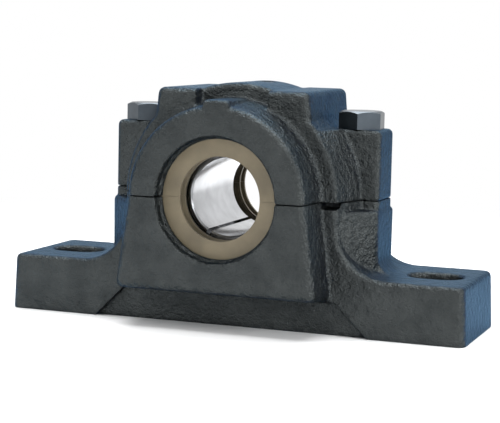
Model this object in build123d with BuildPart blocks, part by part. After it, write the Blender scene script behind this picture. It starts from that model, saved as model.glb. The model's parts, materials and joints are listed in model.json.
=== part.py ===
"""Split plummer block: two-part cast housing with a sleeve-mounted spherical roller bearing.

The origin is at the bottom centre of the foot, under the shaft axis. +X runs along the foot,
the shaft lies along Y and -Y is the front, where the lock nut sits.
"""

from build123d import *
import math
import os

# Shaft, adapter sleeve, lock washer and lock nut
shaft_diameter = 30.0
sleeve_wall = 2.5
sleeve_overhang = 3.25
sleeve_tail = 7.5
sleeve_taper = 1.0 / 12.0
sleeve_slit_width = 1.5
sleeve_slit_angle = -120.0
sleeve_chamfer = 0.6
nut_wall = 8.5
nut_width = 9.0
nut_slot_count = 4
nut_slot_width = 5.0
nut_slot_depth = 2.0
nut_chamfer = 0.8
nut_turn = 45.0
washer_thickness = 1.25
washer_inset = 1.5
washer_tab_count = 13
washer_tab_width = 5.0
washer_tab_rise = 2.5
washer_key_depth = 1.6
bent_tab_length = 4.5
bent_tab_width = 4.4

# Bearing
bearing_width = 23.0
inner_ring_wall = 4.1
inner_rib_rise = 0.8
outer_ring_wall = 4.7
ring_chamfer = 1.0
oil_groove_width = 5.0
oil_groove_depth = 1.0
oil_hole_diameter = 3.0
oil_hole_count = 3
rollers_per_row = 14
roller_diameter = 9.2
roller_chamfer = 0.3
row_inner_space = 1.88
row_outer_space = 2.38
guide_width = 1.5
cage_start_gap = 0.42
cage_recess = 0.2
cage_rim_width = 1.0
cage_bar_height = 3.0
cage_land_gap = 0.8
cage_mouth_gap = 0.8

# Locating rings and seals
locating_ring_width = 5.5
locating_ring_wall = 5.0
seal_height = 10.2
seal_lip_gap = 1.0
seal_lip_thickness = 1.1
seal_lip_root = 1.9
seal_lip_depth = 3.5
seal_edge_chamfer = 0.4

# Clearances
fit_gap = 0.02
thread_gap = 0.05
side_gap = 0.1
seal_outer_gap = 0.2
split_gap = 0.1
track_gap = 0.25
pocket_gap = 0.3
pass_gap = 0.5
nut_room = 3.0
sleeve_end_gap = 0.5
sleeve_side_gap = 2.5

# Housing walls around the bearing
seal_wall = 3.0
groove_width = 6.5
mouth_wall = 6.0
mouth_step = 3.6
mouth_lip_depth = 4.0
mouth_lip_rise = 1.0
mouth_chamfer = 0.6
barrel_wall = 7.0
barrel_edge_radius = 1.6
bolt_wall = 2.5
flange_wall = 8.0

# Housing foot
centre_height = 50.0
foot_height = 22.0
foot_end_draft = 1.0
foot_corner_radius = 3.0
foot_edge_radius = 2.0
foot_end_wall = 7.0
bolt_spacing = 150.0
slot_length = 21.0
slot_width = 15.0
slot_land = 2.5
slot_edge = 0.8
relief_depth = 2.5
relief_slope = 12.5
sole_pocket_length = 96.0
sole_pocket_width = 30.0
sole_pocket_depth = 3.0
sole_pocket_corner = 6.0

# Pillars and bosses
pillar_reach = 10.7
pillar_half_depth = 10.5
pillar_corner_radius = 3.0
pillar_root_radius = 6.0
pillar_flank_inset = 0.8
ledge_drop = 3.6
ledge_radius = 1.5
boss_step = 8.0
boss_spread = 5.0
boss_base_height = 14.8
boss_root_drop = 2.2
boss_flare = 1.3
boss_edge_radius = 2.6
notch_length = 6.4
notch_height = 2.6
notch_depth = 6.0

# Cap
ear_reach = 10.3
ear_half_depth = 9.5
ear_height = 26.5
ear_edge_radius = 2.0
flank_flare = 4.4
spot_face_gap = 0.5
block_half_width = 30.3
block_side_draft = 2.0
block_edge_radius = 2.5
block_root_depth = 6.5
crown_rise = 2.4
crown_wall = 1.0
crown_edge_radius = 2.0
window_half_width = 14.5
rib_half_width = 5.0
rib_rise = 2.2
rib_depth = 9.0
rib_edge_radius = 1.4
blend_radius = 1.6

# Cap bolts, dowels and grease plug
bolt_diameter = 10.0
bolt_head_width = 16.0
bolt_head_height = 6.8
bolt_head_chamfer = 0.9
bolt_length = 50.0
bolt_end_chamfer = 1.0
bolt_hole_spare = 4.0
bolt_turns = (("left", -1, 22.0), ("right", 1, 36.0))
dowel_diameter = 5.0
dowel_length = 12.0
dowel_chamfer = 0.6
dowel_hole_spare = 1.0
plug_diameter = 10.0
plug_length = 4.8
plug_position = 9.0
plug_sink = 0.5
plug_chamfer = 0.4
plug_socket = 5.0
plug_socket_depth = 2.6

# Radii worked outwards from the shaft
shaft_radius = shaft_diameter / 2
small_bore = shaft_radius + sleeve_wall
inner_land_radius = small_bore + inner_ring_wall
inner_rib_radius = inner_land_radius + inner_rib_rise
roller_radius = roller_diameter / 2
pitch_distance = inner_land_radius + track_gap + roller_radius
sphere_radius = pitch_distance + roller_radius + track_gap
seat_radius = sphere_radius + outer_ring_wall
barrel_radius = seat_radius + barrel_wall
boss_half_width = barrel_radius - boss_step
boss_base_half_width = boss_half_width + boss_spread
flank_radius = barrel_radius + flank_flare
bolt_radius = bolt_diameter / 2
pass_radius = bolt_radius + pass_gap
bolt_offset = seat_radius + bolt_wall + pass_radius
ear_half_width = bolt_offset + ear_reach
pillar_half_width = bolt_offset + pillar_reach
nut_radius = small_bore + nut_wall
washer_radius = nut_radius - washer_inset
tab_tip_radius = nut_radius + washer_tab_rise
tab_length = tab_tip_radius - washer_radius + washer_inset
chamber_radius = nut_radius + nut_room
seal_wall_radius = small_bore + sleeve_side_gap
seal_lip_radius = shaft_radius + seal_lip_gap
seal_outer_radius = seal_lip_radius + seal_height - seal_outer_gap
groove_radius = seal_lip_radius + seal_height
mouth_radius = groove_radius - mouth_step
mouth_lip_radius = mouth_radius + mouth_lip_rise

# Places along the shaft, worked outwards from the middle of the bearing
half_bearing = bearing_width / 2
half_seat = half_bearing + locating_ring_width
half_depth = half_seat + flange_wall
crown_half_depth = half_seat + crown_wall
sleeve_front = half_bearing + washer_thickness + nut_width + sleeve_overhang
sleeve_back = half_bearing + sleeve_tail
chamber_half_length = sleeve_front + sleeve_end_gap
groove_start = chamber_half_length + seal_wall
groove_end = groove_start + groove_width
boss_face = groove_end + mouth_wall
boss_reach = boss_face - half_depth
flare_slope = boss_flare / boss_reach
base_boss_root = boss_flare + flare_slope * relief_depth
root_radius = boss_half_width + boss_flare
wall_radius = root_radius + flare_slope * (half_depth - crown_half_depth)

# Roller rows
row_offset = (row_inner_space + half_bearing - row_outer_space) / 2
tilt = math.asin(row_offset / pitch_distance)
pitch_radius = pitch_distance * math.cos(tilt)
half_roller = (half_bearing - row_outer_space - row_inner_space) / (2 * math.cos(tilt))
roller_step = 360.0 / rollers_per_row
guide_outer_radius = pitch_radius
ring_mouth_radius = math.sqrt(sphere_radius**2 - half_bearing**2)
cage_start = row_inner_space + cage_start_gap
cage_end = half_bearing - cage_recess
cage_rim_start = cage_end - cage_rim_width
cage_rim_inner_radius = inner_rib_radius + cage_land_gap
cage_rim_outer_radius = ring_mouth_radius - cage_mouth_gap

# Heights and foot places
half_bolt_spacing = bolt_spacing / 2
half_length = half_bolt_spacing + slot_length / 2 + foot_end_wall
sweep_x = half_bolt_spacing - slot_length / 2 - slot_land
foot_sweep_radius = sweep_x - barrel_radius
ledge_height = centre_height - ledge_drop
ear_top = centre_height + ear_height
block_top = centre_height + barrel_radius - crown_rise
plug_top = centre_height + barrel_radius - plug_sink
dowel_offset_x = (barrel_radius + chamber_radius) / 2
dowel_offset_y = half_seat + flange_wall / 2
parting = Plane.XY.offset(centre_height)
shaft_axis = Axis((0, 0, centre_height), (0, 1, 0))
# In this plane the first coordinate runs along the shaft and the second is the radius.
section_plane = Plane(origin=(0, 0, centre_height), x_dir=(0, 1, 0), z_dir=(1, 0, 0))

# The hollow that base and cap share: seat, grease rooms, seal grooves and openings
with BuildPart() as hollow:
    with BuildSketch(section_plane):
        with BuildLine():
            Polyline(
                (0, 0),
                (0, seat_radius),
                (half_seat, seat_radius),
                (half_seat, chamber_radius),
                (chamber_half_length, chamber_radius),
                (chamber_half_length, seal_wall_radius),
                (groove_start, seal_wall_radius),
                (groove_start, groove_radius),
                (groove_end, groove_radius),
                (groove_end, mouth_radius),
                (boss_face - mouth_lip_depth, mouth_radius),
                (boss_face - mouth_lip_depth, mouth_lip_radius),
                (boss_face - mouth_chamfer, mouth_lip_radius),
                (boss_face, mouth_lip_radius + mouth_chamfer),
                (boss_face, 0),
                close=True,
            )
        make_face()
    revolve(axis=shaft_axis)
    mirror(about=Plane.XZ)

# Lower half of the front boss, wider towards the foot
with BuildPart() as base_boss:
    with BuildSketch(Plane.XZ.offset(half_depth - relief_depth)):
        with BuildLine():
            Polyline(
                (boss_half_width + base_boss_root, centre_height),
                (boss_base_half_width + base_boss_root, boss_base_height - boss_root_drop),
                (-boss_base_half_width - base_boss_root, boss_base_height - boss_root_drop),
                (-boss_half_width - base_boss_root, centre_height),
                close=True,
            )
        make_face()
    with BuildSketch(Plane.XZ.offset(boss_face)):
        with BuildLine():
            Polyline(
                (boss_half_width, centre_height),
                (boss_base_half_width, boss_base_height),
                (-boss_base_half_width, boss_base_height),
                (-boss_half_width, centre_height),
                close=True,
            )
        make_face()
    loft()
    lower_corners = base_boss.edges().filter_by(
        lambda edge: abs(edge.tangent_at(0.5).Y) > 0.5 and edge.center().Z < foot_height
    )
    fillet(lower_corners, radius=boss_edge_radius)
    face_rim = base_boss.faces().sort_by(Axis.Y)[0].edges()
    fillet(face_rim.filter_by(lambda edge: edge.center().Z < centre_height - 1), radius=boss_edge_radius)

# Wide part of the pillars that carry the cap bolts
with BuildPart() as pillars:
    with BuildSketch(Plane.XY.offset(foot_height / 2)):
        flank_x = barrel_radius - pillar_flank_inset
        flank_y = half_depth - pillar_flank_inset
        with BuildLine():
            Polyline(
                (pillar_half_width, pillar_half_depth),
                (flank_x, flank_y),
                (-flank_x, flank_y),
                (-pillar_half_width, pillar_half_depth),
                (-pillar_half_width, -pillar_half_depth),
                (-flank_x, -flank_y),
                (flank_x, -flank_y),
                (pillar_half_width, -pillar_half_depth),
                close=True,
            )
        make_face()
    extrude(amount=ledge_height - foot_height / 2)
    end_edges = pillars.edges().filter_by(Axis.Z).filter_by(
        lambda edge: abs(edge.center().X) > bolt_offset
    )
    fillet(end_edges, radius=pillar_corner_radius)
    fillet(pillars.faces().sort_by(Axis.Z)[-1].edges(), radius=ledge_radius)

# Outline of the bolt ears where base and cap meet
with BuildSketch(parting) as ear_outline:
    with BuildLine():
        Polyline(
            (ear_half_width, ear_half_depth),
            (flank_radius, ear_half_depth),
            (barrel_radius, half_depth - barrel_edge_radius),
            (-barrel_radius, half_depth - barrel_edge_radius),
            (-flank_radius, ear_half_depth),
            (-ear_half_width, ear_half_depth),
            (-ear_half_width, -ear_half_depth),
            (-flank_radius, -ear_half_depth),
            (-barrel_radius, -half_depth + barrel_edge_radius),
            (barrel_radius, -half_depth + barrel_edge_radius),
            (flank_radius, -ear_half_depth),
            (ear_half_width, -ear_half_depth),
            close=True,
        )
    make_face()
    ear_corners = ear_outline.vertices().filter_by(lambda corner: abs(corner.X) > ear_half_width - fit_gap)
    fillet(ear_corners, radius=ear_edge_radius)

with BuildPart() as base:
    # Foot and flange share one outline through the full depth
    with BuildSketch(Plane.XZ):
        with BuildLine():
            half_top = half_length - foot_end_draft
            sweep_z = foot_height + foot_sweep_radius
            Polyline(
                (-sweep_x, foot_height),
                (-half_top, foot_height),
                (-half_length, 0),
                (half_length, 0),
                (half_top, foot_height),
                (sweep_x, foot_height),
            )
            TangentArc((sweep_x, foot_height), (barrel_radius, sweep_z), tangent=(-1, 0))
            Polyline(
                (barrel_radius, sweep_z),
                (barrel_radius, centre_height),
                (-barrel_radius, centre_height),
                (-barrel_radius, sweep_z),
            )
            TangentArc((-barrel_radius, sweep_z), (-sweep_x, foot_height), tangent=(0, -1))
        make_face()
    extrude(amount=half_depth, both=True)
    foot_corners = base.edges().filter_by(
        lambda edge: abs(edge.center().X) > half_top - 1 and abs(edge.tangent_at(0.5).Z) > 0.9
    )
    fillet(foot_corners, radius=foot_corner_radius)
    upper_rim = base.edges().filter_by(
        lambda edge: edge.center().Z > foot_height - 0.1
        and edge.center().Z < centre_height - 0.1
        and (abs(edge.center().Y) > half_depth - foot_corner_radius or abs(edge.center().X) > half_top - 1)
    )
    fillet(upper_rim, radius=foot_edge_radius)
    add(pillars.part)
    # Hollow root where each pillar end runs out into the foot
    root_x = pillar_half_width + pillar_root_radius
    root_z = foot_height + pillar_root_radius
    for side in (-1, 1):
        with BuildSketch(Plane.XZ):
            with BuildLine():
                Polyline(
                    (side * pillar_half_width, root_z),
                    (side * bolt_offset, root_z),
                    (side * bolt_offset, foot_height / 2),
                    (side * root_x, foot_height / 2),
                    (side * root_x, foot_height),
                )
                TangentArc(
                    (side * root_x, foot_height),
                    (side * pillar_half_width, root_z),
                    tangent=(-side, 0),
                )
            make_face()
        extrude(amount=pillar_half_depth - pillar_corner_radius / 2, both=True)
    add(ear_outline.sketch)
    extrude(amount=-ledge_drop - ledge_radius)
    # Shallow recess in the foot faces below the bosses
    relief_top = boss_base_height - boss_root_drop
    with BuildSketch(Plane.XZ.offset(half_depth)):
        with BuildLine():
            Polyline(
                (barrel_radius, relief_top),
                (barrel_radius + relief_slope, 0),
                (-barrel_radius - relief_slope, 0),
                (-barrel_radius, relief_top),
                close=True,
            )
        make_face()
    extrude(amount=-relief_depth, mode=Mode.SUBTRACT)
    add(base_boss.part)
    add(base_boss.part.mirror(Plane.XZ))
    # Foot slots
    with BuildSketch(Plane.XY):
        with Locations((-bolt_spacing / 2, 0), (bolt_spacing / 2, 0)):
            SlotOverall(slot_length, slot_width)
    extrude(amount=foot_height + foot_edge_radius, mode=Mode.SUBTRACT)
    slot_rims = base.edges().filter_by(
        lambda edge: abs(edge.center().Z - foot_height) < 0.01
        and abs(abs(edge.center().X) - bolt_spacing / 2) < slot_length / 2
        and abs(edge.center().Y) < slot_width / 2 + 0.01
        and abs(edge.tangent_at(0.5).Z) < 0.01
    )
    chamfer(slot_rims, length=slot_edge)
    # Shallow recess that leaves the sole as a rim
    with BuildSketch(Plane.XY):
        RectangleRounded(sole_pocket_length, sole_pocket_width, sole_pocket_corner)
    extrude(amount=sole_pocket_depth, mode=Mode.SUBTRACT)
    add(hollow.part, mode=Mode.SUBTRACT)
    # Threaded holes of the cap bolts
    with BuildSketch(parting):
        with Locations((-bolt_offset, 0), (bolt_offset, 0)):
            Circle(bolt_radius + thread_gap)
    extrude(amount=-(bolt_length - ear_height + bolt_hole_spare), mode=Mode.SUBTRACT)
    with BuildSketch(parting):
        with Locations((-dowel_offset_x, -dowel_offset_y), (dowel_offset_x, dowel_offset_y)):
            Circle(dowel_diameter / 2 + fit_gap)
    extrude(amount=-(dowel_length / 2 + dowel_hole_spare), mode=Mode.SUBTRACT)
    # Pry notches in the parting edge, on opposite corners
    with BuildSketch(Plane.XZ.offset(half_depth)):
        with Locations((barrel_radius - notch_length / 2, centre_height - notch_height / 2)):
            Rectangle(notch_length, notch_height)
    extrude(amount=-notch_depth, mode=Mode.SUBTRACT)
    with BuildSketch(Plane.XZ.offset(-half_depth)):
        with Locations((notch_length / 2 - barrel_radius, centre_height - notch_height / 2)):
            Rectangle(notch_length, notch_height)
    extrude(amount=notch_depth, mode=Mode.SUBTRACT)

# Upper half of the front boss with its central rib
with BuildPart() as cap_boss:
    with BuildSketch(section_plane) as cone_section:
        with BuildLine():
            Polyline(
                (-boss_face, 0),
                (-boss_face, boss_half_width),
                (-crown_half_depth, wall_radius),
                (-crown_half_depth, 0),
                close=True,
            )
        make_face()
        face_corner = cone_section.vertices().filter_by(
            lambda corner: corner.X < -boss_face + 1 and corner.Y > boss_half_width - 1
        )
        fillet(face_corner, radius=boss_edge_radius)
    revolve(axis=shaft_axis)
    split(bisect_by=parting, keep=Keep.TOP)

with BuildPart() as rib:
    with Locations((0, -(boss_face + crown_half_depth) / 2, centre_height + boss_half_width + rib_rise)):
        Box(
            2 * rib_half_width,
            boss_face - crown_half_depth,
            rib_depth,
            align=(Align.CENTER, Align.CENTER, Align.MAX),
        )
    rib_edges = rib.edges().filter_by(Axis.Y).group_by(Axis.Z)[-1]
    rib_edges += rib.faces().sort_by(Axis.Y)[0].edges().group_by(Axis.Z)[-1]
    fillet(rib_edges, radius=rib_edge_radius)

# Block that stands on the barrel and carries the shoulders
with BuildPart() as block:
    with BuildSketch(Plane.XZ):
        with BuildLine():
            Polyline(
                (block_half_width, block_top),
                (block_half_width + block_side_draft, ear_top - block_root_depth),
                (-block_half_width - block_side_draft, ear_top - block_root_depth),
                (-block_half_width, block_top),
                close=True,
            )
        make_face()
    extrude(amount=half_depth, both=True)
    fillet(block.edges().filter_by(lambda edge: edge.center().Z > ear_top), radius=block_edge_radius)

# Bolt ears, with barrel flanks that flare out to meet them
with BuildPart() as ears:
    with BuildSketch(section_plane):
        with BuildLine():
            Polyline(
                (-half_depth + barrel_edge_radius, barrel_radius),
                (-ear_half_depth, flank_radius),
                (ear_half_depth, flank_radius),
                (half_depth - barrel_edge_radius, barrel_radius),
                (half_depth - barrel_edge_radius, 0),
                (-half_depth + barrel_edge_radius, 0),
                close=True,
            )
        make_face()
    revolve(axis=shaft_axis)
    split(bisect_by=parting, keep=Keep.TOP)
    split(bisect_by=Plane.XY.offset(ear_top), keep=Keep.BOTTOM)
    with Locations((0, 0, centre_height)):
        Box(
            2 * ear_half_width,
            2 * ear_half_depth,
            ear_height,
            align=(Align.CENTER, Align.CENTER, Align.MIN),
        )
    ear_corners = ears.edges().filter_by(Axis.Z).filter_by(
        lambda edge: abs(edge.center().X) > ear_half_width - fit_gap
    )
    fillet(ear_corners, radius=ear_edge_radius)
    ear_rim = ears.faces().filter_by(Plane.XY).sort_by(Axis.Z)[-1].edges()
    fillet(
        ear_rim.filter_by(lambda edge: abs(edge.center().X) > bolt_offset),
        radius=ear_edge_radius,
    )

# Cylinder that rises through the block between the shoulders
with BuildPart() as crown:
    with BuildSketch(section_plane) as crown_section:
        Rectangle(2 * crown_half_depth, barrel_radius, align=(Align.CENTER, Align.MIN))
        fillet(crown_section.vertices().group_by(Axis.Y)[-1], radius=crown_edge_radius)
    revolve(axis=shaft_axis)
    split(bisect_by=parting, keep=Keep.TOP)

# Hollow fillet between the boss and the front face of the barrel
with BuildPart() as boss_blend:
    with BuildSketch(section_plane):
        with BuildLine():
            Line((-half_depth - blend_radius, root_radius), (-half_depth - blend_radius, 0))
            Line((-half_depth - blend_radius, 0), (-half_depth, 0))
            Line((-half_depth, 0), (-half_depth, root_radius + blend_radius))
            TangentArc(
                (-half_depth, root_radius + blend_radius),
                (-half_depth - blend_radius, root_radius),
                tangent=(0, -1),
            )
        make_face()
    revolve(axis=shaft_axis)
    split(bisect_by=parting, keep=Keep.TOP)

with BuildPart() as cap:
    with BuildSketch(section_plane) as barrel_section:
        Rectangle(2 * half_depth, barrel_radius, align=(Align.CENTER, Align.MIN))
        fillet(barrel_section.vertices().group_by(Axis.Y)[-1], radius=barrel_edge_radius)
    revolve(axis=shaft_axis)
    split(bisect_by=parting, keep=Keep.TOP)
    add(ears.part)
    add(block.part)
    add(boss_blend.part)
    add(boss_blend.part.mirror(Plane.XZ))
    # Windows that leave the block as two shoulders at the front and the back
    window_floor = centre_height + boss_half_width - blend_radius
    window_depth = half_depth + blend_radius - crown_half_depth + crown_edge_radius
    window_centre = crown_half_depth - crown_edge_radius + window_depth / 2
    with Locations((0, -window_centre, window_floor), (0, window_centre, window_floor)):
        Box(
            2 * window_half_width,
            window_depth,
            barrel_radius,
            align=(Align.CENTER, Align.CENTER, Align.MIN),
            mode=Mode.SUBTRACT,
        )
    add(crown.part)
    add(cap_boss.part)
    add(cap_boss.part.mirror(Plane.XZ))
    add(rib.part)
    add(rib.part.mirror(Plane.XZ))
    add(hollow.part, mode=Mode.SUBTRACT)
    with BuildSketch(parting):
        with Locations((-bolt_offset, 0), (bolt_offset, 0)):
            Circle(pass_radius)
    extrude(amount=ear_height, mode=Mode.SUBTRACT)
    with BuildSketch(parting):
        with Locations((-dowel_offset_x, -dowel_offset_y), (dowel_offset_x, dowel_offset_y)):
            Circle(dowel_diameter / 2 + fit_gap)
    extrude(amount=dowel_length / 2 + dowel_hole_spare, mode=Mode.SUBTRACT)
    # Spot faces that seat the bolt heads
    with BuildSketch(Plane.XY.offset(ear_top)):
        with Locations((-bolt_offset, 0), (bolt_offset, 0)):
            Circle(bolt_head_width / math.sqrt(3) + spot_face_gap)
    extrude(amount=2 * bolt_head_height, mode=Mode.SUBTRACT)
    # Lubrication hole with a counterbore for the plug
    with BuildSketch(Plane.XY.offset(plug_top - plug_length)):
        with Locations((0, plug_position)):
            Circle(plug_diameter / 2 + thread_gap)
    extrude(amount=2 * plug_length, mode=Mode.SUBTRACT)
    with BuildSketch(Plane.XY.offset(centre_height + seat_radius - 1)):
        with Locations((0, plug_position)):
            Circle(plug_socket / 2)
    extrude(amount=plug_length, mode=Mode.SUBTRACT)

# A hexagon bolt at the shaft line; its head is trimmed by a cone so the corners are eased
with BuildPart() as bolt:
    with BuildSketch(Plane.XY.offset(ear_top)):
        RegularPolygon(bolt_head_width / 2, 6, major_radius=False)
    extrude(amount=bolt_head_height)
    with BuildSketch(Plane.XZ):
        with BuildLine():
            corner_radius = bolt_head_width / math.sqrt(3)
            Polyline(
                (0, ear_top),
                (corner_radius + fit_gap, ear_top),
                (corner_radius + fit_gap, ear_top + bolt_head_height - bolt_head_chamfer),
                (bolt_head_width / 2 - bolt_head_chamfer / 2, ear_top + bolt_head_height),
                (0, ear_top + bolt_head_height),
                close=True,
            )
        make_face()
    revolve(axis=Axis.Z, mode=Mode.INTERSECT)
    with BuildSketch(Plane.XY.offset(ear_top - bolt_length)):
        Circle(bolt_radius)
    extrude(amount=bolt_length)
    chamfer(bolt.edges().group_by(Axis.Z)[0], length=bolt_end_chamfer)

with BuildPart() as dowel:
    with BuildSketch(Plane.XY.offset(centre_height - dowel_length / 2)):
        Circle(dowel_diameter / 2)
    extrude(amount=dowel_length)
    chamfer(dowel.edges().filter_by(GeomType.CIRCLE), length=dowel_chamfer)

with BuildPart() as plug:
    with BuildSketch(Plane.XY.offset(plug_top - plug_length)):
        with Locations((0, plug_position)):
            Circle(plug_diameter / 2)
    extrude(amount=plug_length)
    chamfer(plug.edges().group_by(Axis.Z)[-1], length=plug_chamfer)
    with BuildSketch(Plane.XY.offset(plug_top)):
        with Locations((0, plug_position)):
            RegularPolygon(plug_socket / 2, 6, major_radius=False)
    extrude(amount=-plug_socket_depth, mode=Mode.SUBTRACT)

# Outer ring: a sphere inside, an oil groove with holes outside
with BuildPart() as outer_ring:
    with BuildSketch(section_plane) as outer_section:
        Rectangle(bearing_width, seat_radius - fit_gap, align=(Align.CENTER, Align.MIN))
        chamfer(outer_section.vertices().group_by(Axis.Y)[-1], length=ring_chamfer)
        with Locations((0, seat_radius - fit_gap)):
            Rectangle(oil_groove_width, 2 * oil_groove_depth, mode=Mode.SUBTRACT)
        Circle(sphere_radius, mode=Mode.SUBTRACT)
    revolve(axis=shaft_axis)
    for index in range(oil_hole_count):
        hole_angle = math.radians(90 + index * 360 / oil_hole_count)
        hole_direction = (math.cos(hole_angle), 0, math.sin(hole_angle))
        with BuildSketch(Plane(origin=(0, 0, centre_height), x_dir=(0, 1, 0), z_dir=hole_direction)):
            Circle(oil_hole_diameter / 2)
        extrude(amount=seat_radius, mode=Mode.SUBTRACT)


def row_point(along, outward):
    """Section point given from a rear roller's centre, along its axis and away from the shaft."""
    return (
        row_offset + along * math.cos(tilt) + outward * math.sin(tilt),
        pitch_radius - along * math.sin(tilt) + outward * math.cos(tilt),
    )


def bore_radius(along):
    """Radius of the tapered bore at a place along the shaft."""
    return small_bore + (along + half_bearing) * sleeve_taper / 2


# Inner ring: tapered bore, one hollow track per roller row and a rib at each end
rib_along = half_roller + track_gap
rib_root = row_point(rib_along, pitch_distance - math.sqrt(sphere_radius**2 - rib_along**2))
rib_rise = (inner_rib_radius - pitch_radius + rib_along * math.sin(tilt)) / math.cos(tilt)
rib_crest = row_point(rib_along, rib_rise)
track_bottom = row_point(0, pitch_distance - sphere_radius)
track_centre = row_point(0, pitch_distance)
land_end = track_centre[0] - math.sqrt(sphere_radius**2 - (track_centre[1] - inner_land_radius) ** 2)
with BuildPart() as inner_ring:
    with BuildSketch(section_plane):
        with BuildLine():
            ThreePointArc((land_end, inner_land_radius), track_bottom, rib_root)
            Polyline(
                rib_root,
                rib_crest,
                (half_bearing, inner_rib_radius),
                (half_bearing, bore_radius(half_bearing)),
                (0, bore_radius(0)),
            )
            Line((0, inner_land_radius), (land_end, inner_land_radius))
            Line((0, inner_land_radius), (0, bore_radius(0)))
        make_face()
        with BuildLine():
            ThreePointArc(
                (-land_end, inner_land_radius),
                (-track_bottom[0], track_bottom[1]),
                (-rib_root[0], rib_root[1]),
            )
            Polyline(
                (-rib_root[0], rib_root[1]),
                (-rib_crest[0], rib_crest[1]),
                (-half_bearing, inner_rib_radius),
                (-half_bearing, bore_radius(-half_bearing)),
                (0, bore_radius(0)),
            )
            Line((0, inner_land_radius), (-land_end, inner_land_radius))
            Line((0, inner_land_radius), (0, bore_radius(0)))
        make_face()
    revolve(axis=shaft_axis)

with BuildPart() as guide_ring:
    with BuildSketch(section_plane):
        with Locations((0, inner_land_radius + pocket_gap)):
            Rectangle(
                guide_width,
                guide_outer_radius - inner_land_radius - pocket_gap,
                align=(Align.CENTER, Align.MIN),
            )
    revolve(axis=shaft_axis)

# Barrel roller of the rear row, right above the shaft
roller_direction = (0, math.cos(tilt), -math.sin(tilt))
roller_centre = (0, row_offset, centre_height + pitch_radius)
roller_plane = Plane(origin=roller_centre, x_dir=roller_direction, z_dir=(1, 0, 0))
roller_axis = Axis(roller_centre, roller_direction)
profile_radius = pitch_distance + roller_radius
roller_end_radius = math.sqrt(profile_radius**2 - (half_roller - roller_chamfer) ** 2) - pitch_distance
with BuildPart() as roller:
    with BuildSketch(roller_plane):
        with BuildLine():
            ThreePointArc(
                (-half_roller + roller_chamfer, roller_end_radius),
                (0, roller_radius),
                (half_roller - roller_chamfer, roller_end_radius),
            )
            Polyline(
                (half_roller - roller_chamfer, roller_end_radius),
                (half_roller, roller_end_radius - roller_chamfer),
                (half_roller, 0),
                (-half_roller, 0),
                (-half_roller, roller_end_radius - roller_chamfer),
                (-half_roller + roller_chamfer, roller_end_radius),
            )
        make_face()
    revolve(axis=roller_axis)

# Room that one roller takes in the cage, open towards the middle of the bearing
with BuildPart() as pocket:
    with BuildSketch(Plane(origin=roller_centre, x_dir=(1, 0, 0), z_dir=roller_direction)):
        Circle(roller_radius + pocket_gap)
    extrude(amount=half_roller + pocket_gap)
    with BuildSketch(Plane(origin=roller_centre, x_dir=(1, 0, 0), z_dir=roller_direction)):
        Circle(roller_radius + pocket_gap)
    extrude(amount=-roller_diameter)

# Comb cage of the rear row: bars on the roller cone and a rim outside the rollers
bar_start_radius = pitch_radius + (row_offset - cage_start) * math.tan(tilt)
bar_end_radius = pitch_radius + (row_offset - cage_rim_start) * math.tan(tilt)
with BuildPart() as cage_rear:
    with BuildSketch(section_plane):
        with BuildLine():
            Polyline(
                (cage_start, bar_start_radius - cage_bar_height / 2),
                (cage_start, bar_start_radius + cage_bar_height / 2),
                (cage_rim_start, bar_end_radius + cage_bar_height / 2),
                (cage_rim_start, cage_rim_outer_radius),
                (cage_end, cage_rim_outer_radius),
                (cage_end, cage_rim_inner_radius),
                (cage_rim_start, cage_rim_inner_radius),
                (cage_rim_start, bar_end_radius - cage_bar_height / 2),
                close=True,
            )
        make_face()
    revolve(axis=shaft_axis)
    for index in range(rollers_per_row):
        add(pocket.part.rotate(shaft_axis, index * roller_step), mode=Mode.SUBTRACT)

with BuildPart() as cage_front:
    add(cage_rear.part.mirror(Plane.XZ).rotate(shaft_axis, roller_step / 2))

# Adapter sleeve: plain bore for the shaft, taper outside, slit along its whole length
with BuildPart() as adapter_sleeve:
    with BuildSketch(section_plane):
        with BuildLine():
            Polyline(
                (-sleeve_front, shaft_radius + sleeve_chamfer),
                (-sleeve_front + sleeve_chamfer, shaft_radius),
                (sleeve_back - sleeve_chamfer, shaft_radius),
                (sleeve_back, shaft_radius + sleeve_chamfer),
                (sleeve_back, bore_radius(sleeve_back) - fit_gap),
                (-half_bearing, small_bore - fit_gap),
                (-sleeve_front + sleeve_chamfer, small_bore - fit_gap),
                (-sleeve_front, small_bore - fit_gap - sleeve_chamfer),
                close=True,
            )
        make_face()
    revolve(axis=shaft_axis)
    slit_angle = math.radians(sleeve_slit_angle)
    slit_direction = (math.cos(slit_angle), 0, math.sin(slit_angle))
    with BuildSketch(Plane(origin=(0, 0, centre_height), x_dir=(0, 1, 0), z_dir=slit_direction)):
        Rectangle(4 * sleeve_front, sleeve_slit_width)
    extrude(amount=nut_radius, mode=Mode.SUBTRACT)

# Lock washer: flat tabs outside, one bent into a nut slot, and a key in the sleeve slit
tab_step = 360.0 / washer_tab_count
slot_floor = nut_radius - nut_slot_depth
key_outer_radius = small_bore + 2 * side_gap
with BuildPart() as lock_washer:
    with BuildSketch(Plane.XZ.offset(half_bearing + fit_gap)):
        with Locations((0, centre_height)):
            Circle(washer_radius)
            with PolarLocations(
                tab_tip_radius - tab_length / 2,
                washer_tab_count - 1,
                start_angle=nut_turn + tab_step,
                angular_range=360 - tab_step,
            ):
                Rectangle(tab_length, washer_tab_width)
            Circle(key_outer_radius, mode=Mode.SUBTRACT)
            with PolarLocations(key_outer_radius - washer_key_depth / 2, 1, start_angle=sleeve_slit_angle):
                Rectangle(washer_key_depth + side_gap, sleeve_slit_width - 2 * side_gap)
    extrude(amount=washer_thickness)
    with BuildSketch(Plane.XZ.offset(half_bearing + fit_gap)):
        with Locations((0, centre_height)):
            with PolarLocations(slot_floor + side_gap + washer_thickness / 2, 1, start_angle=nut_turn):
                Rectangle(washer_thickness, bent_tab_width)
    extrude(amount=washer_thickness + bent_tab_length)

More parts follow.
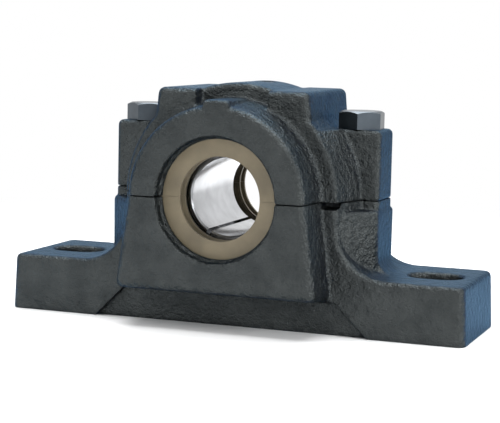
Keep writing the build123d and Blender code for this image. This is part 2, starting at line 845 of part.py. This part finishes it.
with BuildPart() as lock_nut:
    with BuildSketch(Plane.XZ.offset(half_bearing + washer_thickness + 2 * fit_gap)):
        with Locations((0, centre_height)):
            Circle(nut_radius)
            Circle(small_bore - fit_gap + thread_gap, mode=Mode.SUBTRACT)
    extrude(amount=nut_width)
    nut_rims = lock_nut.edges().filter_by(GeomType.CIRCLE).sort_by(SortBy.LENGTH)[-2:]
    chamfer(nut_rims, length=nut_chamfer)
    with BuildSketch(Plane.XZ.offset(half_bearing)):
        with Locations((0, centre_height)):
            with PolarLocations(nut_radius, nut_slot_count, start_angle=nut_turn):
                Rectangle(2 * nut_slot_depth, nut_slot_width)
    extrude(amount=2 * nut_width, mode=Mode.SUBTRACT)

with BuildPart() as locating_ring:
    with BuildSketch(section_plane):
        with Locations((half_bearing + fit_gap, seat_radius - fit_gap)):
            Rectangle(
                half_seat - half_bearing - 2 * fit_gap,
                locating_ring_wall,
                align=(Align.MIN, Align.MAX),
            )
    revolve(axis=shaft_axis)

# Rear seal: a body in the groove and two lips that reach in to the shaft
seal_inner_face = groove_start + side_gap
seal_outer_face = groove_end - side_gap
with BuildPart() as seal:
    with BuildSketch(section_plane):
        with BuildLine():
            Polyline(
                (seal_inner_face, seal_outer_radius - seal_edge_chamfer),
                (seal_inner_face + seal_edge_chamfer, seal_outer_radius),
                (seal_outer_face - seal_edge_chamfer, seal_outer_radius),
                (seal_outer_face, seal_outer_radius - seal_edge_chamfer),
                (seal_outer_face, seal_lip_radius),
                (seal_outer_face - seal_lip_thickness, seal_lip_radius),
                (seal_outer_face - seal_lip_root, seal_lip_radius + seal_lip_depth),
                (seal_inner_face + seal_lip_root, seal_lip_radius + seal_lip_depth),
                (seal_inner_face + seal_lip_thickness, seal_lip_radius),
                (seal_inner_face, seal_lip_radius),
                close=True,
            )
        make_face()
    revolve(axis=shaft_axis)

with BuildPart() as seal_upper:
    add(seal.part)
    split(bisect_by=parting.offset(split_gap / 2), keep=Keep.TOP)

with BuildPart() as seal_lower:
    add(seal.part)
    split(bisect_by=parting.offset(-split_gap / 2), keep=Keep.BOTTOM)

# One file for each physical piece
pieces = {
    "base": base.part,
    "cap": cap.part,
    "grease_plug": plug.part,
    "dowel_pin_left": Pos(-dowel_offset_x, -dowel_offset_y, 0) * dowel.part,
    "dowel_pin_right": Pos(dowel_offset_x, dowel_offset_y, 0) * dowel.part,
    "outer_ring": outer_ring.part,
    "inner_ring": inner_ring.part,
    "guide_ring": guide_ring.part,
    "cage_rear": cage_rear.part,
    "cage_front": cage_front.part,
    "adapter_sleeve": adapter_sleeve.part,
    "lock_washer": lock_washer.part,
    "lock_nut": lock_nut.part,
    "locating_ring_rear": locating_ring.part,
    "locating_ring_front": locating_ring.part.mirror(Plane.XZ),
    "seal_rear_upper": seal_upper.part,
    "seal_rear_lower": seal_lower.part,
    "seal_front_upper": seal_upper.part.mirror(Plane.XZ),
    "seal_front_lower": seal_lower.part.mirror(Plane.XZ),
}
for side, sign, turn in bolt_turns:
    pieces[f"cap_bolt_{side}"] = Pos(sign * bolt_offset, 0, 0) * Rot(0, 0, turn) * bolt.part
for index in range(rollers_per_row):
    turned = roller.part.rotate(shaft_axis, index * roller_step)
    pieces[f"roller_rear_{index + 1:02d}"] = turned
    pieces[f"roller_front_{index + 1:02d}"] = turned.mirror(Plane.XZ).rotate(shaft_axis, roller_step / 2)

os.makedirs("parts", exist_ok=True)
for name, piece in pieces.items():
    piece.label = name
    export_step(piece, f"parts/{name}.step")
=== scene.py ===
"""Looks of the split plummer block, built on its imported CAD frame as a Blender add-on."""

import json
import math

import bpy
from mathutils import Matrix, Vector

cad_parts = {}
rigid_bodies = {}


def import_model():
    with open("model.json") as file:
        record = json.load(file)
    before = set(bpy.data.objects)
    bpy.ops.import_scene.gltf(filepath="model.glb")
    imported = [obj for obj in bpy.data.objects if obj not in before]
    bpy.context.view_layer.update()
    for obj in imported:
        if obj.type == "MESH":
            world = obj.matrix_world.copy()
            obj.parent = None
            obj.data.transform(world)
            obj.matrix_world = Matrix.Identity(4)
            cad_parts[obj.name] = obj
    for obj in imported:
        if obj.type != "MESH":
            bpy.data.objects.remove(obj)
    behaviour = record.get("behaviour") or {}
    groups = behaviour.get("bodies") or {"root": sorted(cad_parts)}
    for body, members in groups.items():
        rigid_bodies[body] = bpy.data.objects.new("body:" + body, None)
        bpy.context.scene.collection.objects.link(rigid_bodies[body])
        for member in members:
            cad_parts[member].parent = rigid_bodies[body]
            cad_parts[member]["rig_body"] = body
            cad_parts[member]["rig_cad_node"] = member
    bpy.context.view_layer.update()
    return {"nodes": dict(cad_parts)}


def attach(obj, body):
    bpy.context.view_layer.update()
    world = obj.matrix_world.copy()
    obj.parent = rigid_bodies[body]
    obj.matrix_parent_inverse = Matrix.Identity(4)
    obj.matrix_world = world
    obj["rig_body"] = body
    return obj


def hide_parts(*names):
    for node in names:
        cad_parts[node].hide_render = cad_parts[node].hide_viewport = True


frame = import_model()

bl_info = {
    "name": "Split plummer block",
    "version": (1, 0, 0),
    "blender": (4, 5, 0),
    "location": "View3D > Sidebar > Plummer block",
    "description": "Cast skin, metal and seal finishes, and a plain studio for a split plummer block",
    "category": "Object",
}

MM = 0.001
SHAFT_HEIGHT = 50 * MM
WHITE = (1.0, 1.0, 1.0, 1.0)

# Cast skin
MERGE_DISTANCE = 0.001 * MM
SMOOTH_FACTOR = 0.5
SHARP_EDGE = math.radians(38)

# Enamel: a dark coat; the blue it reflects where it is seen at a flat angle is a painted sheen, standing
# in for blue light on the upward faces
PAINT_METALLIC = 0.85
PAINT_ROUGHNESS = 0.3
PAINT_PAINTED_SHEEN_TINT = (0.14, 0.4, 0.66, 1.0)
PAINT_TONE_SCALE = 110.0
PIT_SCALE = 420.0
GRAIN_SCALE = 1500.0
GRAIN_SHARE = 0.4
PIT_DEPTH = 1.1 * MM

# Machined metals: colour and roughness of each finish, and the pieces that have it
STEEL_TONE_SCALE = 140.0
STEEL_GRAIN_SCALE = 600.0
STEEL_GRAIN_DEPTH = 0.05 * MM
METAL_FINISHES = {
    "bolt_steel": ((0.08, 0.095, 0.11, 1.0), 0.32),
    "plain_steel": ((0.42, 0.42, 0.43, 1.0), 0.35),
    "ground_steel": ((0.62, 0.62, 0.64, 1.0), 0.18),
    "turned_steel": ((0.55, 0.56, 0.58, 1.0), 0.22),
    "cage_brass": ((0.72, 0.5, 0.2, 1.0), 0.3),
}
ROLLERS = tuple(name for name in frame["nodes"] if name.startswith("roller_"))
METAL_PIECES = {
    "bolt_steel": ("cap_bolt_left", "cap_bolt_right", "grease_plug"),
    "plain_steel": ("guide_ring", "lock_washer", "lock_nut", "locating_ring_front", "locating_ring_rear"),
    "ground_steel": ("dowel_pin_left", "dowel_pin_right", "outer_ring", "inner_ring") + ROLLERS,
    "turned_steel": ("adapter_sleeve",),
    "cage_brass": ("cage_front", "cage_rear"),
}

# Seal compound
SEAL_ROUGHNESS = 0.55
SEAL_STAIN_SCALE = 60.0
SEAL_GRAIN_SCALE = 700.0
SEAL_GRAIN_DEPTH = 0.15 * MM

# Studio: the floor fades into white between two radii; each lamp has a place, an edge and a power
FLOOR_SIZE = 12.0
FLOOR_FADE = (0.16, 0.42)
FLOOR_ROUGHNESS = 0.9
SKY_COLOUR = (0.97, 0.99, 1.0, 1.0)
SKY_STRENGTH = 0.5
LAMPS = {
    "overhead_softbox": ((0.0, 0.15, 0.9), 0.9, 16.0),
    "front_fill": ((-0.7, -0.9, 0.5), 0.6, 2.5),
    "side_strip": ((0.9, -0.25, 0.35), 0.35, 5.0),
}
CAMERA_PLACE = (0.21521, -0.58344, 0.11416)
CAMERA_TURN = math.radians(20.3)
CAMERA_ELEVATION = math.radians(6.63)
CAMERA_ROLL = math.radians(1.29)
CAMERA_SENSOR_MM = 36.0
CAMERA_LENS_MM = 114.4987
CAMERA_NEAR = 10 * MM


class BlockSizes(bpy.types.PropertyGroup):
    """Sizes that a user may change."""

    cast_voxel: bpy.props.FloatProperty(
        name="Cast skin detail",
        description="Edge length of the voxels that round off the castings",
        default=0.62 * MM,
        min=0.3 * MM,
        unit="LENGTH",
    )
    cast_rounding: bpy.props.IntProperty(
        name="Cast rounding",
        description="How many times the cast skin is relaxed",
        default=4,
        min=0,
    )
    cast_faces: bpy.props.FloatProperty(
        name="Cast faces kept",
        description="Share of the skin's faces that is kept",
        default=0.36,
        min=0.05,
        max=1.0,
        subtype="FACTOR",
    )


class BlockColours(bpy.types.PropertyGroup):
    """Colours that a user may change."""

    paint: bpy.props.FloatVectorProperty(
        name="Paint",
        description="Colour of the housing paint",
        subtype="COLOR",
        size=4,
        default=(0.044, 0.047, 0.046, 1.0),
    )
    seal: bpy.props.FloatVectorProperty(
        name="Seal",
        description="Colour of the seal material",
        subtype="COLOR",
        size=4,
        default=(0.2, 0.165, 0.105, 1.0),
    )
    floor: bpy.props.FloatVectorProperty(
        name="Floor",
        description="Colour of the studio floor",
        subtype="COLOR",
        size=4,
        default=(0.9, 0.9, 0.9, 1.0),
    )


def deselect_all():
    """Leave edit mode and select nothing."""
    if bpy.context.object and bpy.context.object.mode != "OBJECT":
        bpy.ops.object.mode_set(mode="OBJECT")
    bpy.ops.object.select_all(action="DESELECT")


def select_only(piece):
    """Make one object the selected and active one."""
    deselect_all()
    piece.select_set(True)
    bpy.context.view_layer.objects.active = piece


def apply_modifier(piece, kind, **values):
    """Add one modifier to a piece and apply it."""
    select_only(piece)
    modifier = piece.modifiers.new(kind.title(), kind)
    for name, value in values.items():
        setattr(modifier, name, value)
    bpy.ops.object.modifier_apply(modifier=modifier.name)


def new_material(name):
    """A node material with a principled shader, ready for links."""
    material = bpy.data.materials.new(name)
    material.use_nodes = True
    nodes = material.node_tree.nodes
    return material, nodes, material.node_tree.links, nodes["Principled BSDF"]


def object_noise(nodes, links, scale, detail=3.0, roughness=0.55):
    """A noise texture on object coordinates."""
    place = nodes.new("ShaderNodeTexCoord")
    noise = nodes.new("ShaderNodeTexNoise")
    noise.inputs["Scale"].default_value = scale
    noise.inputs["Detail"].default_value = detail
    noise.inputs["Roughness"].default_value = roughness
    links.new(place.outputs["Object"], noise.inputs["Vector"])
    return noise


def add_bump(nodes, links, shader, height, strength, distance):
    """Let a texture's height push the shader's normal."""
    bump = nodes.new("ShaderNodeBump")
    bump.inputs["Strength"].default_value = strength
    bump.inputs["Distance"].default_value = distance
    links.new(height, bump.inputs["Height"])
    links.new(bump.outputs["Normal"], shader.inputs["Normal"])


def shaded(colour, factor):
    """The same colour, darker or lighter."""
    return tuple(channel * factor for channel in colour[:3]) + (1.0,)


def vary_colour(nodes, links, shader, noise, colour, darkest, lightest, low_at=0.35, high_at=0.65):
    """Let a noise shift the shader's base colour between a darker and a lighter tone."""
    ramp = nodes.new("ShaderNodeValToRGB")
    low, high = ramp.color_ramp.elements
    low.position = low_at
    low.color = shaded(colour, darkest)
    high.position = high_at
    high.color = shaded(colour, lightest)
    links.new(noise.outputs["Fac"], ramp.inputs["Fac"])
    links.new(ramp.outputs["Color"], shader.inputs["Base Color"])


def cast_paint_material():
    """Semi-gloss enamel over a sand-cast skin, with a painted blue sheen where it is seen at a flat
    angle.
    """
    material, nodes, links, shader = new_material("cast_paint")
    tone = object_noise(nodes, links, PAINT_TONE_SCALE, detail=5.0)
    vary_colour(nodes, links, shader, tone, bpy.context.scene.block_colours.paint, 0.85, 1.15)
    shader.inputs["Metallic"].default_value = PAINT_METALLIC
    # The specular tint paints a blue sheen onto faces seen at a flat angle, such as the upward faces
    shader.inputs["Specular Tint"].default_value = PAINT_PAINTED_SHEEN_TINT
    shader.inputs["Roughness"].default_value = PAINT_ROUGHNESS
    pits = object_noise(nodes, links, PIT_SCALE, detail=4.0)
    grain = object_noise(nodes, links, GRAIN_SCALE, detail=2.0)
    relief = nodes.new("ShaderNodeMath")
    relief.operation = "MULTIPLY_ADD"
    relief.inputs[1].default_value = GRAIN_SHARE
    links.new(grain.outputs["Fac"], relief.inputs[0])
    links.new(pits.outputs["Fac"], relief.inputs[2])
    add_bump(nodes, links, shader, relief.outputs["Value"], 1.0, PIT_DEPTH)
    return material


def steel_material(name, colour, roughness):
    """Machined metal with a fine grain."""
    material, nodes, links, shader = new_material(name)
    tone = object_noise(nodes, links, STEEL_TONE_SCALE)
    vary_colour(nodes, links, shader, tone, colour, 0.88, 1.08)
    shader.inputs["Metallic"].default_value = 1.0
    shader.inputs["Roughness"].default_value = roughness
    grain = object_noise(nodes, links, STEEL_GRAIN_SCALE, detail=2.0)
    add_bump(nodes, links, shader, grain.outputs["Fac"], 0.12, STEEL_GRAIN_DEPTH)
    return material


def seal_material():
    """Matt seal compound with darker stains."""
    material, nodes, links, shader = new_material("seal_compound")
    stain = object_noise(nodes, links, SEAL_STAIN_SCALE, detail=5.0)
    vary_colour(nodes, links, shader, stain, bpy.context.scene.block_colours.seal, 0.7, 1.1)
    shader.inputs["Roughness"].default_value = SEAL_ROUGHNESS
    grain = object_noise(nodes, links, SEAL_GRAIN_SCALE)
    add_bump(nodes, links, shader, grain.outputs["Fac"], 0.2, SEAL_GRAIN_DEPTH)
    return material


def floor_material():
    """Pale matt floor that runs out into plain white around the object."""
    material, nodes, links, shader = new_material("studio_floor")
    shader.inputs["Base Color"].default_value = bpy.context.scene.block_colours.floor
    shader.inputs["Roughness"].default_value = FLOOR_ROUGHNESS
    place = nodes.new("ShaderNodeTexCoord")
    reach = nodes.new("ShaderNodeVectorMath")
    reach.operation = "LENGTH"
    links.new(place.outputs["Object"], reach.inputs[0])
    fade = nodes.new("ShaderNodeMapRange")
    fade.interpolation_type = "SMOOTHSTEP"
    fade.inputs["From Min"].default_value, fade.inputs["From Max"].default_value = FLOOR_FADE
    links.new(reach.outputs["Value"], fade.inputs["Value"])
    bare = nodes.new("ShaderNodeEmission")
    blend = nodes.new("ShaderNodeMixShader")
    links.new(fade.outputs["Result"], blend.inputs["Fac"])
    links.new(shader.outputs["BSDF"], blend.inputs[1])
    links.new(bare.outputs["Emission"], blend.inputs[2])
    links.new(blend.outputs["Shader"], nodes["Material Output"].inputs["Surface"])
    return material


def studio_world():
    """Soft sky light that the camera and glossy surfaces see as plain white."""
    world = bpy.data.worlds.new("studio_world")
    world.use_nodes = True
    nodes = world.node_tree.nodes
    links = world.node_tree.links
    sky = nodes["Background"]
    sky.inputs["Color"].default_value = SKY_COLOUR
    sky.inputs["Strength"].default_value = SKY_STRENGTH
    white = nodes.new("ShaderNodeBackground")
    white.inputs["Color"].default_value = WHITE
    white.inputs["Strength"].default_value = 1.0
    path = nodes.new("ShaderNodeLightPath")
    seen = nodes.new("ShaderNodeMath")
    seen.operation = "MAXIMUM"
    links.new(path.outputs["Is Camera Ray"], seen.inputs[0])
    links.new(path.outputs["Is Glossy Ray"], seen.inputs[1])
    mix = nodes.new("ShaderNodeMixShader")
    links.new(seen.outputs["Value"], mix.inputs["Fac"])
    links.new(sky.outputs["Background"], mix.inputs[1])
    links.new(white.outputs["Background"], mix.inputs[2])
    links.new(mix.outputs["Shader"], nodes["World Output"].inputs["Surface"])
    return world


def add_lamp(name, place, edge, power):
    """Add one soft square lamp that faces the shaft's middle."""
    bpy.ops.object.light_add(type="AREA", location=place)
    lamp = bpy.context.object
    lamp.name = name
    lamp.data.size = edge
    lamp.data.energy = power
    aim = Vector((0.0, 0.0, SHAFT_HEIGHT)) - Vector(place)
    lamp.rotation_euler = aim.to_track_quat("-Z", "Y").to_euler()


def add_camera():
    """Add the camera, in front of the block and a little to its right."""
    turn = Matrix.Rotation(CAMERA_TURN, 4, "Z")
    tilt = Matrix.Rotation(math.pi / 2 - CAMERA_ELEVATION, 4, "X")
    roll = Matrix.Rotation(CAMERA_ROLL, 4, "Z")
    bpy.ops.object.camera_add()
    camera = bpy.context.object
    camera.matrix_world = Matrix.Translation(CAMERA_PLACE) @ turn @ tilt @ roll
    camera.data.sensor_width = CAMERA_SENSOR_MM
    camera.data.lens = CAMERA_LENS_MM
    camera.data.clip_start = CAMERA_NEAR
    bpy.context.scene.camera = camera


def finish_node(name, material):
    """Give a carried-over CAD node its finish."""
    node = frame["nodes"][name]
    node.data.materials.clear()
    node.data.materials.append(material)


class BLOCK_OT_castings(bpy.types.Operator):
    """Skin the base and cap castings with a rounded, painted surface"""

    bl_idname = "block.castings"
    bl_label = "Castings"

    def execute(self, context):
        sizes = context.scene.block_sizes
        paint = cast_paint_material()
        for name in ("base", "cap"):
            finish_node(name, paint)
            select_only(frame["nodes"][name])
            bpy.ops.object.duplicate()
            skin = context.object
            skin.name = f"{name}_casting"
            bpy.ops.object.parent_clear(type="CLEAR_KEEP_TRANSFORM")
            bpy.ops.object.mode_set(mode="EDIT")
            bpy.ops.mesh.select_all(action="SELECT")
            bpy.ops.mesh.remove_doubles(threshold=MERGE_DISTANCE)
            bpy.ops.object.mode_set(mode="OBJECT")
            apply_modifier(skin, "REMESH", mode="VOXEL", voxel_size=sizes.cast_voxel, adaptivity=0.0)
            apply_modifier(skin, "SMOOTH", factor=SMOOTH_FACTOR, iterations=sizes.cast_rounding)
            apply_modifier(skin, "DECIMATE", decimate_type="COLLAPSE", ratio=sizes.cast_faces)
            select_only(skin)
            bpy.ops.object.shade_smooth_by_angle(angle=SHARP_EDGE)
            # The copy is a new piece, so it drops the marks that make its original a CAD node
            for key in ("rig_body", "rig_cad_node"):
                if key in skin:
                    del skin[key]
            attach(skin, "housing")
            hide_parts(name)
        return {"FINISHED"}


class BLOCK_OT_metals(bpy.types.Operator):
    """Give the bolts, rings, rollers, cages and sleeve their finishes"""

    bl_idname = "block.metals"
    bl_label = "Metal pieces"

    def execute(self, context):
        for finish, (colour, roughness) in METAL_FINISHES.items():
            material = steel_material(finish, colour, roughness)
            for name in METAL_PIECES[finish]:
                finish_node(name, material)
        return {"FINISHED"}


class BLOCK_OT_seals(bpy.types.Operator):
    """Give the split seals their compound"""

    bl_idname = "block.seals"
    bl_label = "Seals"

    def execute(self, context):
        compound = seal_material()
        for side in ("front", "rear"):
            for half in ("upper", "lower"):
                finish_node(f"seal_{side}_{half}", compound)
        return {"FINISHED"}


class BLOCK_OT_stage(bpy.types.Operator):
    """Set up the floor, the soft light and the camera"""

    bl_idname = "block.stage"
    bl_label = "Stage"

    def execute(self, context):
        deselect_all()
        bpy.ops.mesh.primitive_plane_add(size=FLOOR_SIZE, location=(0.0, 0.0, 0.0))
        floor = context.object
        floor.name = "studio_floor"
        floor.data.materials.append(floor_material())
        context.scene.world = studio_world()
        for name, (place, edge, power) in LAMPS.items():
            add_lamp(name, place, edge, power)
        add_camera()
        context.scene.view_settings.view_transform = "Standard"
        return {"FINISHED"}


class BLOCK_PT_panel(bpy.types.Panel):
    """Lists the settings and the pieces of the plummer block"""

    bl_idname = "BLOCK_PT_panel"
    bl_label = "Plummer block"
    bl_space_type = "VIEW_3D"
    bl_region_type = "UI"
    bl_category = "Plummer block"

    def draw(self, context):
        layout = self.layout
        for group in (context.scene.block_sizes, context.scene.block_colours):
            for name in group.bl_rna.properties.keys():
                if name not in ("rna_type", "name"):
                    layout.prop(group, name)
        for operator in OPERATORS:
            layout.operator(operator.bl_idname)


OPERATORS = (
    BLOCK_OT_castings,
    BLOCK_OT_metals,
    BLOCK_OT_seals,
    BLOCK_OT_stage,
)
CLASSES = (BlockSizes, BlockColours) + OPERATORS + (BLOCK_PT_panel,)


def register():
    """Register the classes and their settings."""
    for item in CLASSES:
        bpy.utils.register_class(item)
    bpy.types.Scene.block_sizes = bpy.props.PointerProperty(type=BlockSizes)
    bpy.types.Scene.block_colours = bpy.props.PointerProperty(type=BlockColours)


def unregister():
    """Remove the settings and the classes."""
    del bpy.types.Scene.block_colours
    del bpy.types.Scene.block_sizes
    for item in reversed(CLASSES):
        bpy.utils.unregister_class(item)


def main():
    """Build every piece in order."""
    register()
    bpy.ops.block.castings()
    bpy.ops.block.metals()
    bpy.ops.block.seals()
    bpy.ops.block.stage()


if __name__ == "__main__":
    main()
